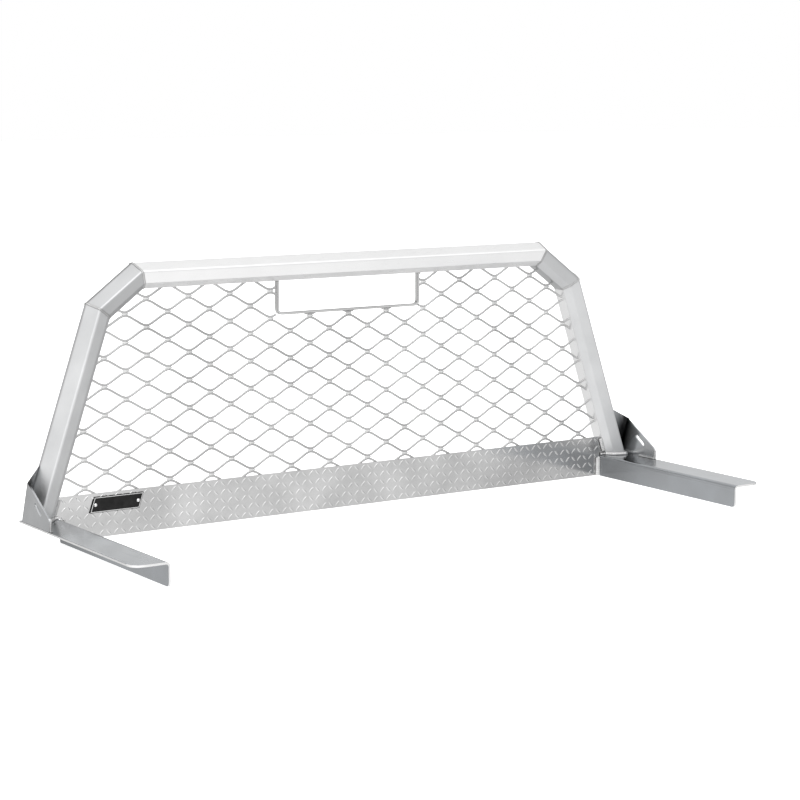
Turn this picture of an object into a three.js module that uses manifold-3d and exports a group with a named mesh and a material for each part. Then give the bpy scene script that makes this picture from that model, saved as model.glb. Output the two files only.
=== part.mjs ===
// Headache rack (cab guard) for a pickup truck: a welded aluminium frame with an expanded-metal
// screen, standing on two angle arms that lie along the tops of the bed sides.
//
// Millimetres, +Z up.  X runs across the truck, -Y points to the tailgate, +Y to the cab.
// The origin is on the centre line, half way along the arms, level with their lowest edge.

import * as THREE from "three";
import { mergeVertices } from "three/addons/utils/BufferGeometryUtils.js";
import { ConvexGeometry } from "three/addons/geometries/ConvexGeometry.js";
import Module from "manifold-3d";

const wasm = await Module();
wasm.setup();

// ------------------------------------------------------------------ driving sizes

const gap = 0.3; // clearance between neighbouring pieces
const slopeGap = gap * 1.2; // the same clearance, measured level across a leaning leg
const far = 1000; // past the whole object, for shapes that only cut
const overcut = 1; // how far a cutting shape reaches past a face that it cuts

const overallWidth = 1750; // over the outer edges of the two arms
const armLength = 578;
const armEnd = armLength / 2;
const backY = armEnd - 1; // back plane of the tube frame, just inside the rear ends of the arms

const flangeWidth = 88.5; // part of an arm that lies on the bed side
const flangeDrop = 55; // part of an arm that hangs down inside the bed
const armThickness = 5;
const armBendRadius = 11;
const armHangStart = 37; // the hanging flange starts this far in front of the back plane
const armNoseRadius = 32; // outer front corner of the wide flange
const hangNoseRadius = 12; // lower front corner of the hanging flange
const hangTailRadius = 4; // lower rear corner of the hanging flange
const flangeTop = flangeDrop;

// Outer corners of the right half of the tube frame, seen from the front, as (x, z).
const topCorner = new THREE.Vector2(588, flangeTop + 580);
const kneeCorner = new THREE.Vector2(706, flangeTop + 492);
const footCorner = new THREE.Vector2(872, flangeTop + gap);

const tubeWidth = 60;
const tubeInnerDepth = 39; // flat side that faces the screen
const tubeWall = 3;
const seamHalf = 3; // each mitred end stops this far short of the corner, for the weld
const seamProud = 0.9;
const seamGap = 0.5; // between a mitred end and its weld, along the joint's normal

const plateThickness = 3;
const plateFront = 32; // distance of the kick plate's face from the back plane
const plateHeight = 105;
const plateLift = 0.5; // the plate's lower edge clears the arms' lowest edges by this much
const treadPitch = 38;
const treadRows = 3;
const treadHeight = 1.2;
const treadRoot = 0.5; // how deep a bar's underside lies in the sheet
const treadBarLength = 26;
const treadBarWidth = 6;
const treadCrest = 0.55; // length of a bar's level top, as a share of its whole length

const screenThickness = 5;
const screenFront = plateFront - plateThickness - gap;
const diamondWide = 111.1; // long way, bond to bond
const diamondHigh = 66.44; // short way, bond to bond
const bondLength = 19;
const strandHeight = 6.5;
const screenFirstRow = flangeTop + 63.5; // height of the lowest bonds seen above the plate
const screenColumns = 15; // half diamonds either side of the middle, before the frame trims them
const screenRows = 15; // half diamonds above the first row, before the frame trims them
const screenBottom = flangeTop + 24; // hidden lower edge, behind the kick plate

const windowWidth = 414;
const windowSill = flangeTop + 436.5; // underside of the bar below the opening
const windowBar = 6;
const windowBarDepth = 13;
const windowBarFront = 34;
const windowCornerRadius = 16; // outer radius of the two lower corners

const badgeWidth = 140;
const badgeHeight = 37;
const badgeSlant = 12.6;
const badgeCentre = new THREE.Vector2(-644, flangeTop + 23);
const badgeThickness = 2;
const badgeRimInset = 1.2;
const badgeRimWidth = 1.5;
const badgeRimProud = 0.4;
const badgeRimRoot = 0.5;
const rivetSpacing = 110;
const rivetRadius = 2.4;
const rivetHeadRadius = 4.2;
const rivetHeadHeight = 2;
const rivetHoleDepth = 12; // longer than both sheets together

const gussetThickness = 4.5;
const gussetHeight = 95;
const gussetReach = 165; // front edge of the gusset, from the back plane
const gussetToeHeight = 28;
const gussetTopRadius = 5;
const gussetShoulderRadius = 12;
const gussetNoseRadius = 6;
const gussetFoldTop = 51; // the fold leans: this far forward at the top ...
const gussetFoldFoot = 16; // ... and this far forward at the flange
// Corners of the gusset's web, as (x, forwards, z).  They lie inside the leg, which trims the web.
const webLegTop = new THREE.Vector3(816, 10, flangeTop + 135);
const webLegFoot = new THREE.Vector3(858, 6, flangeTop + gap);
const webOverlap = 3; // the web's face runs this far into the cheek
const slotRadius = 4.5;
const slotBackEnd = new THREE.Vector2(92, flangeTop + 51); // (forwards from the back plane, z)
const slotFrontEnd = new THREE.Vector2(118, flangeTop + 33);

// Radii of the fillet welds.
const footBead = 8; // round the foot of a leg
const plateFootBead = 6.4; // from there along the kick plate
const hangBead = 10.5; // down the hanging flange
const shelfBead = 8; // up the inside of a leg
const toeBead = 4; // up the front edge of the cheek
const cheekFootBead = 5; // along the foot of the cheek
const windowBead = 4;
const beadPitch = 5.5; // spacing of the ripples
const beadPinch = 0.86; // how much narrower a bead is between two ripples
const beadLift = 1; // height of a bead's middle over the face that it lies on
const footWeldEnd = 0.25; // how far up the leg's outer slope the foot weld starts, as a share of it
const cheekWeldLength = 60; // along the foot of the cheek, from its front edge
const beadStop = 4; // beads end this far short of the edge that they run to

// ------------------------------------------------------------------ materials

function aluminium(name, color, roughness) {
  return new THREE.MeshStandardMaterial({ name, color, roughness, metalness: 0.9 });
}

const looks = {
  tube: () => aluminium("tube_aluminium", "#c9cccf", 0.3),
  sheet: () => aluminium("sheet_aluminium", "#b4b7bb", 0.22),
  tread: () => aluminium("tread_aluminium", "#babdba", 0.35),
  screen: () => aluminium("screen_aluminium", "#a9acad", 0.4),
  weld: () => aluminium("weld_bead", "#d6d8d9", 0.4),
  rivet: () => aluminium("rivet_aluminium", "#dedfe0", 0.25),
  badge: () =>
    new THREE.MeshStandardMaterial({
      name: "badge_plate",
      color: "#111214",
      roughness: 0.45,
      metalness: 0.3,
    }),
};

// ------------------------------------------------------------------ small geometry tools

function signedVolume(geometry) {
  const flat = geometry.index ? geometry.toNonIndexed() : geometry;
  const at = flat.getAttribute("position");
  const corners = [0, 1, 2].map(() => new THREE.Vector3());
  let volume = 0;
  for (let first = 0; first < at.count; first += 3) {
    corners.forEach((corner, step) => corner.fromBufferAttribute(at, first + step));
    volume += corners[0].dot(corners[1].clone().cross(corners[2])) / 6;
  }
  return volume;
}

// Gives a closed surface whose faces look outwards, whichever way round it was built.
function outward(geometry) {
  const flat = geometry.index ? geometry.toNonIndexed() : geometry.clone();
  if (signedVolume(flat) < 0) {
    const at = flat.getAttribute("position");
    const swap = new THREE.Vector3();
    const other = new THREE.Vector3();
    for (let first = 0; first < at.count; first += 3) {
      swap.fromBufferAttribute(at, first + 1);
      other.fromBufferAttribute(at, first + 2);
      at.setXYZ(first + 1, other.x, other.y, other.z);
      at.setXYZ(first + 2, swap.x, swap.y, swap.z);
    }
  }
  flat.computeVertexNormals();
  return flat;
}

function toSolid(geometry) {
  const bare = new THREE.BufferGeometry();
  bare.setAttribute("position", outward(geometry).getAttribute("position").clone());
  const welded = mergeVertices(bare, 1e-4);
  return new wasm.Manifold(
    new wasm.Mesh({
      numProp: 3,
      vertProperties: new Float32Array(welded.getAttribute("position").array),
      triVerts: new Uint32Array(welded.index.array),
    })
  );
}

function toGeometry(solid) {
  const mesh = solid.getMesh();
  const geometry = new THREE.BufferGeometry();
  geometry.setAttribute("position", new THREE.BufferAttribute(mesh.vertProperties, 3));
  geometry.setIndex(new THREE.BufferAttribute(mesh.triVerts, 1));
  return outward(geometry);
}

function cut(geometry, cutters) {
  let solid = toSolid(geometry);
  for (const cutter of cutters) {
    solid = solid.subtract(toSolid(cutter));
  }
  return toGeometry(solid);
}

function join(geometries) {
  let solid = toSolid(geometries[0]);
  for (const geometry of geometries.slice(1)) {
    solid = solid.add(toSolid(geometry));
  }
  return toGeometry(solid);
}

function overlap(first, ...others) {
  let solid = toSolid(first);
  for (const other of others) {
    solid = solid.intersect(toSolid(other));
  }
  return toGeometry(solid);
}

function largestPiece(geometry) {
  const pieces = toSolid(geometry).decompose();
  return toGeometry(pieces.sort((one, two) => two.volume() - one.volume())[0]);
}

function mirrored(geometry) {
  return outward(geometry.clone().scale(-1, 1, 1));
}

// Rounds the corners of a closed outline.  Each corner is [u, v, radius].
function roundedOutline(corners, arcSteps = 3) {
  const points = [];
  corners.forEach(([u, v, radius], index) => {
    const corner = new THREE.Vector2(u, v);
    const before = corners[(index + corners.length - 1) % corners.length];
    const after = corners[(index + 1) % corners.length];
    const toBefore = new THREE.Vector2(before[0] - u, before[1] - v).normalize();
    const toAfter = new THREE.Vector2(after[0] - u, after[1] - v).normalize();
    if (!radius) {
      points.push(corner);
      return;
    }
    const setback = radius / Math.tan(Math.acos(toBefore.dot(toAfter)) / 2);
    const arc = new THREE.QuadraticBezierCurve(
      corner.clone().addScaledVector(toBefore, setback),
      corner,
      corner.clone().addScaledVector(toAfter, setback)
    );
    points.push(...arc.getPoints(arcSteps));
  });
  return points;
}

// Moves every edge of a convex outline inwards by `distance` (outwards when negative).
function insetOutline(points, distance) {
  const turn = Math.sign(THREE.ShapeUtils.area(points));
  const edges = points.map((point, index) => {
    const next = points[(index + 1) % points.length];
    const along = next.clone().sub(point).normalize();
    const inward = new THREE.Vector2(-along.y, along.x).multiplyScalar(turn * distance);
    return { start: point.clone().add(inward), along };
  });
  return edges.map((edge, index) => {
    const last = edges[(index + edges.length - 1) % edges.length];
    const between = edge.start.clone().sub(last.start);
    const travel = between.cross(edge.along) / last.along.cross(edge.along);
    return last.start.clone().addScaledVector(last.along, travel);
  });
}

// Extrudes an outline drawn in the X-Z plane so that it fills the space between two distances
// in front of the back plane.
function frontPlate(shape, nearBack, farFront) {
  const geometry = new THREE.ExtrudeGeometry(shape, {
    depth: farFront - nearBack,
    bevelEnabled: false,
    curveSegments: 6,
  });
  geometry.rotateX(Math.PI / 2);
  return outward(geometry.translate(0, backY - nearBack, 0));
}

// Extrudes an outline drawn in the Y-Z plane between two values of x.
function sidePlate(shape, fromX, toX) {
  const geometry = new THREE.ExtrudeGeometry(shape, {
    depth: toX - fromX,
    bevelEnabled: false,
    curveSegments: 6,
  });
  geometry.rotateZ(Math.PI / 2).rotateY(Math.PI / 2);
  return outward(geometry.translate(fromX, 0, 0));
}

function block(fromX, toX, fromY, toY, fromZ, toZ) {
  const geometry = new THREE.BoxGeometry(toX - fromX, toY - fromY, toZ - fromZ);
  return geometry.translate((fromX + toX) / 2, (fromY + toY) / 2, (fromZ + toZ) / 2);
}

// ------------------------------------------------------------------ tube frame

// Section of the frame tube: first number inwards from its outer side, second forwards from the
// back plane, third the corner radius.
const tubeCorners = [
  [0, 0, 20],
  [tubeWidth, 0, 4],
  [tubeWidth, tubeInnerDepth, 4],
  [45.5, 56, 5],
  [17, 66, 6],
  [0, 24, 14],
];

function tubeSection(inset) {
  const sharp = insetOutline(tubeCorners.map(([u, v]) => new THREE.Vector2(u, v)), inset);
  return roundedOutline(sharp.map((point, index) => {
    const radius = Math.max(1, tubeCorners[index][2] - inset);
    return [point.x, point.y, radius];
  }));
}

const tubeOutline = tubeSection(0);
const boreOutline = tubeSection(tubeWall);

function sectionShape(outline, hole) {
  const shape = new THREE.Shape(outline);
  if (hole) {
    shape.holes.push(new THREE.Path(hole));
  }
  return shape;
}

function direction(from, to) {
  return to.clone().sub(from).normalize();
}

function inwardOf(along) {
  return new THREE.Vector2(along.y, -along.x);
}

const railAxis = new THREE.Vector2(1, 0);
const cornerAxis = direction(topCorner, kneeCorner);
const legAxis = direction(kneeCorner, footCorner);
const legLean = Math.acos(-legAxis.y);

// Step across a mitre for one millimetre of depth into the two tubes that meet there.
function mitreStep(firstAxis, secondAxis) {
  const first = inwardOf(firstAxis);
  const second = inwardOf(secondAxis);
  return first.clone().add(second).divideScalar(1 + first.dot(second));
}

const topMitre = mitreStep(railAxis, cornerAxis);
const kneeMitre = mitreStep(cornerAxis, legAxis);
const footStep = new THREE.Vector2(-1 / Math.cos(legLean), 0);

// Runs a section from one end plane to the other.  An end is a corner of the frame plus the
// step that a point takes along the end plane as it moves into the tube.
function tubeBetween(start, finish, outline, hole) {
  const geometry = new THREE.ExtrudeGeometry(sectionShape(outline, hole), {
    depth: 1,
    bevelEnabled: false,
  });
  const at = geometry.getAttribute("position");
  for (let index = 0; index < at.count; index += 1) {
    const inwards = at.getX(index);
    const forwards = at.getY(index);
    const from = start.corner.clone().addScaledVector(start.step, inwards);
    const to = finish.corner.clone().addScaledVector(finish.step, inwards);
    const place = from.lerp(to, at.getZ(index));
    at.setXYZ(index, place.x, backY - forwards, place.y);
  }
  return outward(geometry);
}

function shifted(corner, axis, distance) {
  return corner.clone().addScaledVector(axis, distance);
}

const leftTopCorner = new THREE.Vector2(-topCorner.x, topCorner.y);
const leftTopMitre = new THREE.Vector2(-topMitre.x, topMitre.y);

function topRail() {
  const start = { corner: shifted(leftTopCorner, railAxis, seamHalf), step: leftTopMitre };
  const finish = { corner: shifted(topCorner, railAxis, -seamHalf), step: topMitre };
  return tubeBetween(start, finish, tubeOutline, boreOutline);
}

function cornerTube() {
  const start = { corner: shifted(topCorner, cornerAxis, seamHalf), step: topMitre };
  const finish = { corner: shifted(kneeCorner, cornerAxis, -seamHalf), step: kneeMitre };
  return tubeBetween(start, finish, tubeOutline, boreOutline);
}

function legTube(outline = tubeOutline, hole = boreOutline) {
  const start = { corner: shifted(kneeCorner, legAxis, seamHalf), step: kneeMitre };
  const finish = { corner: footCorner, step: footStep };
  return tubeBetween(start, finish, outline, hole);
}

// The leg without its bore and slightly swollen: used to trim whatever is welded to it.
const legEnvelope = legTube(tubeSection(-gap), null);

function mitreWeld(corner, step) {
  const across = new THREE.Vector2(-step.y, step.x).normalize();
  const halfThickness = seamHalf - seamGap;
  const start = { corner: shifted(corner, across, -halfThickness), step };
  const finish = { corner: shifted(corner, across, halfThickness), step };
  return tubeBetween(start, finish, tubeSection(-seamProud), boreOutline);
}

// ------------------------------------------------------------------ arms

const flangeOuter = overallWidth / 2;
const flangeInner = flangeOuter - flangeWidth;

function railAngle() {
  const section = new THREE.Shape(
    roundedOutline([
      [flangeOuter, flangeTop, 1],
      [flangeInner, flangeTop, armBendRadius],
      [flangeInner, 0, 1],
      [flangeInner + armThickness, 0, 1],
      [flangeInner + armThickness, flangeTop - armThickness, armBendRadius - armThickness],
      [flangeOuter, flangeTop - armThickness, 1],
    ])
  );
  const bar = frontPlate(section, backY - armEnd, backY + armEnd);
  const plan = new THREE.Shape(
    roundedOutline([
      [flangeOuter + overcut, armEnd, 0],
      [flangeInner - overcut, armEnd, 0],
      [flangeInner - overcut, -armEnd, 0],
      [flangeOuter, -armEnd, armNoseRadius],
    ])
  );
  const planDepth = flangeTop + 2 * overcut;
  const planBlock = new THREE.ExtrudeGeometry(plan, { depth: planDepth, bevelEnabled: false });
  planBlock.translate(0, 0, -overcut);
  const elevation = new THREE.Shape(
    roundedOutline([
      [armEnd, flangeTop + overcut, 0],
      [armEnd, flangeTop - armThickness, 0],
      [backY - armHangStart, flangeTop - armThickness, 0],
      [backY - armHangStart, 0, hangTailRadius],
      [-armEnd, 0, hangNoseRadius],
      [-armEnd, flangeTop + overcut, 0],
    ])
  );
  const sideBlock = sidePlate(elevation, flangeInner - overcut, flangeOuter + overcut);
  return overlap(bar, planBlock, sideBlock);
}

// ------------------------------------------------------------------ kick plate and badge

function innerLegX(z) {
  const atFoot = footCorner.x - tubeWidth / Math.cos(legLean);
  return atFoot - (z - footCorner.y) * Math.tan(legLean);
}

// One raised lozenge of the tread pattern, leaning left or right.
function treadBar(x, z, lean) {
  const halfLength = treadBarLength / 2;
  const halfWidth = treadBarWidth / 2;
  const corners = [
    [-halfLength, 0],
    [0, -halfWidth],
    [halfLength, 0],
    [0, halfWidth],
  ];
  const points = corners.map(([along, across]) => new THREE.Vector3(along, treadRoot, across));
  points.push(new THREE.Vector3(-halfLength * treadCrest, -treadHeight, 0));
  points.push(new THREE.Vector3(halfLength * treadCrest, -treadHeight, 0));
  const bar = new ConvexGeometry(points).rotateY(lean);
  return bar.translate(x, backY - plateFront, z);
}

const rivetPlaces = [-1, 1].map((side) => badgeCentre.x + (side * rivetSpacing) / 2);

function rivetHole(x) {
  const hole = new THREE.CylinderGeometry(rivetRadius + gap, rivetRadius + gap, rivetHoleDepth, 16);
  return hole.translate(x, backY - plateFront, badgeCentre.y);
}

function kickPlate() {
  const lowerEnd = flangeInner - gap;
  const shelf = flangeTop + gap;
  const halfOutline = [
    [lowerEnd, plateLift],
    [lowerEnd, shelf],
    [innerLegX(shelf) - slopeGap, shelf],
    [innerLegX(plateHeight) - slopeGap, plateHeight],
  ];
  const outline = [
    ...halfOutline.map(([x, z]) => new THREE.Vector2(x, z)),
    ...halfOutline.reverse().map(([x, z]) => new THREE.Vector2(-x, z)),
  ];
  const shape = new THREE.Shape(outline);
  const sheet = frontPlate(shape, plateFront - plateThickness, plateFront);
  const bars = [];
  const columns = Math.floor(lowerEnd / (treadPitch / 2));
  const rowPitch = plateHeight / (treadRows + 1);
  for (let column = -columns + 1; column < columns; column += 1) {
    for (let row = 1; row <= treadRows; row += 1) {
      const leansRight = (column + row) % 2 === 0;
      const lean = leansRight ? Math.PI / 4 : -Math.PI / 4;
      bars.push(treadBar((column * treadPitch) / 2, row * rowPitch, lean));
    }
  }
  return cut(join([sheet, ...bars]), rivetPlaces.map(rivetHole));
}

function slantedOutline(inset) {
  const halfWidth = (badgeWidth - badgeSlant) / 2;
  const halfHeight = badgeHeight / 2;
  const outline = [
    new THREE.Vector2(-halfWidth - badgeSlant / 2, -halfHeight),
    new THREE.Vector2(halfWidth - badgeSlant / 2, -halfHeight),
    new THREE.Vector2(halfWidth + badgeSlant / 2, halfHeight),
    new THREE.Vector2(-halfWidth + badgeSlant / 2, halfHeight),
  ];
  return insetOutline(outline, inset).map((point) => point.add(badgeCentre));
}

function nameBadge() {
  const back = plateFront + treadHeight + gap;
  const front = back + badgeThickness;
  const sheet = frontPlate(new THREE.Shape(slantedOutline(0)), back, front);
  const rim = new THREE.Shape(slantedOutline(badgeRimInset));
  rim.holes.push(new THREE.Path(slantedOutline(badgeRimInset + badgeRimWidth)));
  const raised = frontPlate(rim, front - badgeRimRoot, front + badgeRimProud);
  return cut(join([sheet, raised]), rivetPlaces.map(rivetHole));
}

function badgeRivet(x) {
  const headBase = plateFront + treadHeight + gap + badgeThickness + gap;
  const shank = headBase - (plateFront - plateThickness) - gap;
  const profile = [
    new THREE.Vector2(0, 0),
    new THREE.Vector2(rivetRadius, 0),
    new THREE.Vector2(rivetRadius, shank),
    new THREE.Vector2(rivetHeadRadius, shank),
    new THREE.Vector2(rivetHeadRadius * 0.85, shank + rivetHeadHeight * 0.55),
    new THREE.Vector2(rivetHeadRadius * 0.5, shank + rivetHeadHeight * 0.9),
    new THREE.Vector2(0, shank + rivetHeadHeight),
  ];
  const rivet = new THREE.LatheGeometry(profile, 20).rotateZ(Math.PI);
  return outward(rivet.translate(x, backY - (plateFront - plateThickness) - gap, badgeCentre.y));
}

// ------------------------------------------------------------------ screen and window

function diamondOpening(x, z) {
  const tip = diamondWide / 2 - bondLength / 2;
  const half = diamondHigh / 2 - strandHeight;
  const shoulder = bondLength / 2;
  const corners = [
    [tip, 0],
    [shoulder, half],
    [-shoulder, half],
    [-tip, 0],
    [-shoulder, -half],
    [shoulder, -half],
  ];
  return new THREE.Path(corners.map(([u, v]) => new THREE.Vector2(x + u, z + v)));
}

function screenPanel() {
  const halfSpan = (diamondWide * (screenColumns + 1)) / 2;
  const top = screenFirstRow + (diamondHigh * (screenRows + 1)) / 2;
  const bottom = screenFirstRow - diamondHigh * 1.25;
  const sheet = new THREE.Shape([
    new THREE.Vector2(-halfSpan, bottom),
    new THREE.Vector2(halfSpan, bottom),
    new THREE.Vector2(halfSpan, top),
    new THREE.Vector2(-halfSpan, top),
  ]);
  for (let column = -screenColumns; column <= screenColumns; column += 1) {
    for (let row = -1; row <= screenRows; row += 1) {
      if ((column + row) % 2 === 0) {
        const z = screenFirstRow + (row * diamondHigh) / 2;
        sheet.holes.push(diamondOpening((column * diamondWide) / 2, z));
      }
    }
  }
  const lattice = frontPlate(sheet, screenFront - screenThickness, screenFront);

  const inset = tubeWidth + gap;
  const innerTop = topCorner.clone().addScaledVector(topMitre, inset);
  const innerKnee = kneeCorner.clone().addScaledVector(kneeMitre, inset);
  const footX = innerLegX(screenBottom) - slopeGap;
  const right = [new THREE.Vector2(footX, screenBottom), innerKnee, innerTop];
  const left = [innerTop, innerKnee, right[0]].map((p) => new THREE.Vector2(-p.x, p.y));
  const opening = new THREE.Shape([...right, ...left]);
  const region = frontPlate(opening, 0, plateFront);

  const notchHalf = windowWidth / 2 + gap;
  const notch = block(-notchHalf, notchHalf, 0, far, windowSill - gap, far);
  return largestPiece(cut(overlap(lattice, region), [notch]));
}

function windowFrame() {
  const half = windowWidth / 2;
  const top = topCorner.y - tubeWidth - gap;
  const shape = new THREE.Shape(
    roundedOutline([
      [-half, top, 0],
      [-half, windowSill, windowCornerRadius],
      [half, windowSill, windowCornerRadius],
      [half, top, 0],
      [half - windowBar, top, 0],
      [half - windowBar, windowSill + windowBar, windowCornerRadius - windowBar],
      [-half + windowBar, windowSill + windowBar, windowCornerRadius - windowBar],
      [-half + windowBar, top, 0],
    ], 6)
  );
  return frontPlate(shape, windowBarFront - windowBarDepth, windowBarFront);
}

// ------------------------------------------------------------------ gussets

function gusset() {
  const floor = flangeTop + gap;
  const y = (forwards) => backY - forwards;
  const shape = new THREE.Shape(
    roundedOutline([
      [y(gussetFoldFoot), floor, 0],
      [y(gussetFoldTop), flangeTop + gussetHeight, gussetTopRadius],
      [y(gussetReach), flangeTop + gussetToeHeight, gussetShoulderRadius],
      [y(gussetReach), floor, gussetNoseRadius],
    ])
  );
  const cheek = sidePlate(shape, flangeOuter - gussetThickness, flangeOuter);

  const slotEnds = [
    [y(slotBackEnd.x), slotBackEnd.y],
    [y(slotFrontEnd.x), slotFrontEnd.y],
  ];
  const slotLength = Math.hypot(slotEnds[1][0] - slotEnds[0][0], slotEnds[1][1] - slotEnds[0][1]);
  const slotTilt = Math.atan2(slotEnds[0][1] - slotEnds[1][1], slotEnds[0][0] - slotEnds[1][0]);
  const slotDepth = gussetThickness * 4;
  const round = new THREE.CylinderGeometry(slotRadius, slotRadius, slotDepth, 14);
  round.rotateZ(Math.PI / 2);
  const middle = new THREE.BoxGeometry(slotDepth, slotLength, slotRadius * 2).rotateX(slotTilt);
  const slotTools = [
    ...slotEnds.map(([atY, atZ]) => round.clone().translate(flangeOuter, atY, atZ)),
    middle.translate(
      flangeOuter,
      (slotEnds[0][0] + slotEnds[1][0]) / 2,
      (slotEnds[0][1] + slotEnds[1][1]) / 2
    ),
  ];

  // The web closes the wedge between the leaning leg and the upright cheek.
  const webFace = [
    new THREE.Vector3(flangeOuter, y(gussetFoldFoot + webOverlap), floor),
    new THREE.Vector3(flangeOuter, y(gussetFoldTop + webOverlap), flangeTop + gussetHeight),
    new THREE.Vector3(webLegTop.x, y(webLegTop.y), webLegTop.z),
    new THREE.Vector3(webLegFoot.x, y(webLegFoot.y), webLegFoot.z),
  ];
  const webBack = webFace.map((point) =>
    point.clone().add(new THREE.Vector3(0, gussetThickness, 0))
  );
  const web = new ConvexGeometry([...webFace, ...webBack]);
  const underside = block(0, far, -far, far, -far, floor);
  const outside = block(flangeOuter, far, -far, far, -far, far);
  const folded = cut(join([cheek, web]), [legEnvelope, underside, outside]);
  return cut(largestPiece(folded), slotTools);
}

// ------------------------------------------------------------------ weld beads

// A fillet weld along a path: a rippled round bar, later trimmed against the pieces it joins.
function rippledBar(path, radius) {
  const length = path.getLength();
  const ripples = Math.max(3, Math.round(length / beadPitch));
  const steps = ripples * 2;
  const round = new THREE.Shape();
  round.absellipse(0, 0, radius, radius, 0, Math.PI * 2);
  const bar = new THREE.ExtrudeGeometry(round, { steps, curveSegments: 5, extrudePath: path });
  const samples = path.getSpacedPoints(steps);
  const at = bar.getAttribute("position");
  const point = new THREE.Vector3();
  for (let index = 0; index < at.count; index += 1) {
    point.fromBufferAttribute(at, index);
    let nearest = 0;
    samples.forEach((sample, step) => {
      if (sample.distanceToSquared(point) < samples[nearest].distanceToSquared(point)) {
        nearest = step;
      }
    });
    const pinch = nearest % 2 === 0 ? beadPinch : 1;
    point.sub(samples[nearest]).multiplyScalar(pinch).add(samples[nearest]);
    at.setXYZ(index, point.x, point.y, point.z);
  }
  return outward(bar);
}

const plateFace = backY - plateFront - treadHeight - gap; // clear of the tread on the kick plate

// Everything at or below the top of an arm's wide flange.
function armDeck() {
  return block(0, far, -far, far, -far, flangeTop + gap);
}

// Weld on top of the arm: round the front of a leg's foot, then along the kick plate to the fold.
function footWeld() {
  const [crestStart, slopeTop, slopeFoot] = tubeCorners
    .slice(3)
    .map(([inwards, forwards]) => new THREE.Vector2(inwards, forwards));
  const outline = [
    new THREE.Vector2(tubeWidth, tubeInnerDepth - overcut),
    ...tubeOutline.filter((point) => point.y > (tubeInnerDepth + crestStart.y) / 2),
    slopeFoot.lerp(slopeTop, footWeldEnd),
  ];
  const deck = flangeTop + beadLift;
  const aroundLeg = outline.map((point) => {
    const x = footCorner.x - point.x / Math.cos(legLean);
    return new THREE.Vector3(x, backY - point.y, deck);
  });
  const alongPlate = new THREE.LineCurve3(
    new THREE.Vector3(innerLegX(flangeTop) + footBead / 2, plateFace, deck),
    new THREE.Vector3(flangeInner + armBendRadius / 2, plateFace, deck)
  );
  const bar = join([
    rippledBar(new THREE.CatmullRomCurve3(aroundLeg), footBead),
    rippledBar(alongPlate, plateFootBead),
  ]);
  const beyond = block(flangeOuter - gussetThickness - gap, far, -far, far, -far, far);
  const plate = block(0, footCorner.x - tubeWidth / 2, plateFace, far, -far, far);
  return largestPiece(cut(bar, [legEnvelope, armDeck(), beyond, plate]));
}

// Upright weld where the end of the kick plate meets the hanging flange of an arm.
function hangWeld() {
  const x = flangeInner - gap;
  const path = new THREE.LineCurve3(
    new THREE.Vector3(x, plateFace, beadStop / 2),
    new THREE.Vector3(x, plateFace, flangeTop - armBendRadius / 2)
  );
  const bar = rippledBar(path, hangBead);
  const plate = block(0, far, plateFace, far, -far, far);
  const flange = block(x, far, -far, far, -far, far);
  return largestPiece(cut(bar, [plate, flange]));
}

// Leaning weld where the end of the kick plate meets the inside of a leg, above the foot weld.
function shelfWeld() {
  const low = flangeTop + beadLift + footBead + beadStop / 2;
  const high = plateHeight - beadStop;
  const path = new THREE.LineCurve3(
    new THREE.Vector3(innerLegX(low), plateFace, low),
    new THREE.Vector3(innerLegX(high), plateFace, high)
  );
  const plate = block(0, far, plateFace, far, -far, far);
  return largestPiece(cut(rippledBar(path, shelfBead), [plate, legEnvelope]));
}

// Weld at the toe of a gusset's cheek: up its front edge and a short way along its foot.
function gussetToeWeld() {
  const cheekSide = flangeOuter - gussetThickness - gap;
  const toe = backY - gussetReach - gap;
  const upright = new THREE.LineCurve3(
    new THREE.Vector3(cheekSide + gussetThickness / 2, toe, flangeTop - beadLift),
    new THREE.Vector3(cheekSide + gussetThickness / 2, toe, flangeTop + gussetToeHeight - beadStop)
  );
  const along = new THREE.LineCurve3(
    new THREE.Vector3(cheekSide, toe - overcut, flangeTop + gap),
    new THREE.Vector3(cheekSide, toe + cheekWeldLength, flangeTop + gap)
  );
  const bar = join([rippledBar(upright, toeBead), rippledBar(along, cheekFootBead)]);
  const cheek = block(cheekSide, far, toe, far, -far, far);
  const outside = block(flangeOuter, far, -far, far, -far, far);
  return largestPiece(cut(bar, [armDeck(), cheek, outside]));
}

// Weld at one top end of the window bar, under the top rail.
function windowWeld() {
  const x = windowWidth / 2 + gap;
  const z = topCorner.y - tubeWidth - gap;
  const path = new THREE.LineCurve3(
    new THREE.Vector3(x, backY - windowBarFront + overcut, z),
    new THREE.Vector3(x, backY - screenFront - overcut, z)
  );
  const bar = rippledBar(path, windowBead);
  const rail = block(-far, far, -far, far, z, far);
  const upright = block(-far, x, -far, far, -far, far);
  return largestPiece(cut(bar, [rail, upright]));
}

// ------------------------------------------------------------------ assembly

const rack = new THREE.Group();
rack.name = "headache_rack";

function place(name, geometry, look) {
  const mesh = new THREE.Mesh(outward(geometry), looks[look]());
  mesh.name = name;
  rack.add(mesh);
}

function placePair(name, geometry, look) {
  place(`right_${name}`, geometry, look);
  place(`left_${name}`, mirrored(geometry), look);
}

place("top_rail", topRail(), "tube");
placePair("corner_tube", cornerTube(), "tube");
placePair("leg_tube", legTube(), "tube");
placePair("top_mitre_weld", mitreWeld(topCorner, topMitre), "weld");
placePair("knee_mitre_weld", mitreWeld(kneeCorner, kneeMitre), "weld");

place("screen_panel", screenPanel(), "screen");
place("window_frame", windowFrame(), "screen");
placePair("window_weld", windowWeld(), "weld");

place("kick_plate", kickPlate(), "tread");
placePair("plate_to_arm_weld", hangWeld(), "weld");
placePair("plate_to_leg_weld", shelfWeld(), "weld");

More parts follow.
